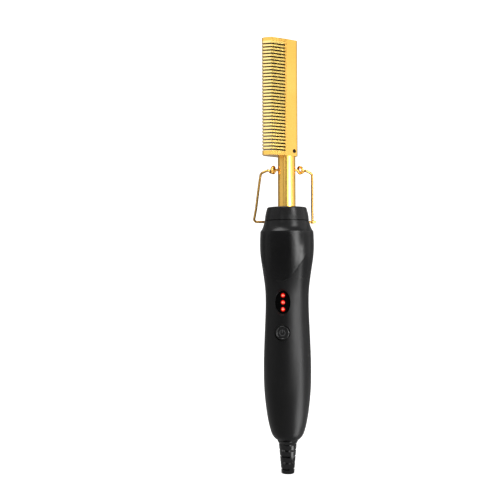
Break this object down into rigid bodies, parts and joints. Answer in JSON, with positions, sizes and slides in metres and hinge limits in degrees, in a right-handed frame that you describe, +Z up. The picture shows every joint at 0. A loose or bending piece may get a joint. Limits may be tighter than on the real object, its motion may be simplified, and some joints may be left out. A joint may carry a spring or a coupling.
{
  "type": "electric hot comb",
  "caption": "Heated metal hair comb on a tube neck with a swinging wire stand, and a two-shell grip with thumb rest, lamps, push button and swivelling cord outlet.",
  "frame": {"origin": "centre of the cord hole's mouth, on the lower end of the boot, on the grip's axis", "axes": "+Z up the tool from the cord outlet to the comb; the controls face -Y; +X is to the right of someone who looks at the controls"},
  "size_m": [0.0447, 0.043, 0.2974],
  "materials": {
    "gold_comb": "gold plated, satin",
    "gold_tube": "gold plated, polished",
    "gold_wire": "gold plated, polished",
    "black_satin": "soft satin moulding",
    "button_black": "satin",
    "boot_black": "semi-gloss",
    "lens_black": "gloss",
    "lamp_red": "gloss, lit",
    "black_steel": "black oxide",
    "plain_metal": "plain",
    "contact_brass": "plain",
    "ceramic_stone": "dull ceramic",
    "white_ceramic": "dull ceramic",
    "amber_film": "film",
    "brown_resin": "moulded resin",
    "lead_sleeve": "silicone sleeve",
    "switch_white": "plain",
    "chip_black": "plain",
    "board_green": "lacquered laminate",
    "capacitor_yellow": "plain"
  },
  "bodies": {
    "grip": {"comb_head": "gold_comb", "heater_stones": "ceramic_stone", "heater_electrodes": "plain_metal", "heater_film": "amber_film", "heater_plug": "white_ceramic", "heater_screw": "black_steel", "neck_tube": "gold_tube", "neck_bush": "brown_resin", "heater_leads": "lead_sleeve", "thermal_fuse": "plain_metal", "collar_cap": "black_satin", "handle_front": "black_satin", "handle_back": "black_satin", "handle_screws": "black_steel", "indicator_lens": "lens_black", "indicator_lamps": "lamp_red", "switch_body": "chip_black", "circuit_board": "board_green", "control_chip": "chip_black", "triac": "chip_black", "capacitor": "capacitor_yellow", "board_screws": "plain_metal", "brush_block": "brown_resin", "brush_contacts": "contact_brass", "mains_leads": "lead_sleeve"},
    "button": {"power_button": "button_black", "switch_plunger": "switch_white"},
    "boot": {"cord_boot": "boot_black", "swivel_barrel": "boot_black", "slip_rings": "contact_brass"},
    "stand": {"stand_wire": "gold_wire"}
  },
  "joints": [
    {"name": "stand_swing", "type": "hinge", "parent": "grip", "child": "stand", "pos_m": [0, 0, 0.2083], "axis": [0.9336, 0.3584, 0], "range_deg": [0, 138]},
    {"name": "button_press", "type": "slide", "parent": "grip", "child": "button", "axis": [0, 1, 0], "range_m": [0, 0.0006], "stiffness_N_per_m": 2500, "springref_m": -0.0004},
    {"name": "boot_swivel", "type": "hinge", "parent": "grip", "child": "boot", "pos_m": [0, 0, 0.01], "axis": [0, 0, 1], "continuous": true}
  ]
}
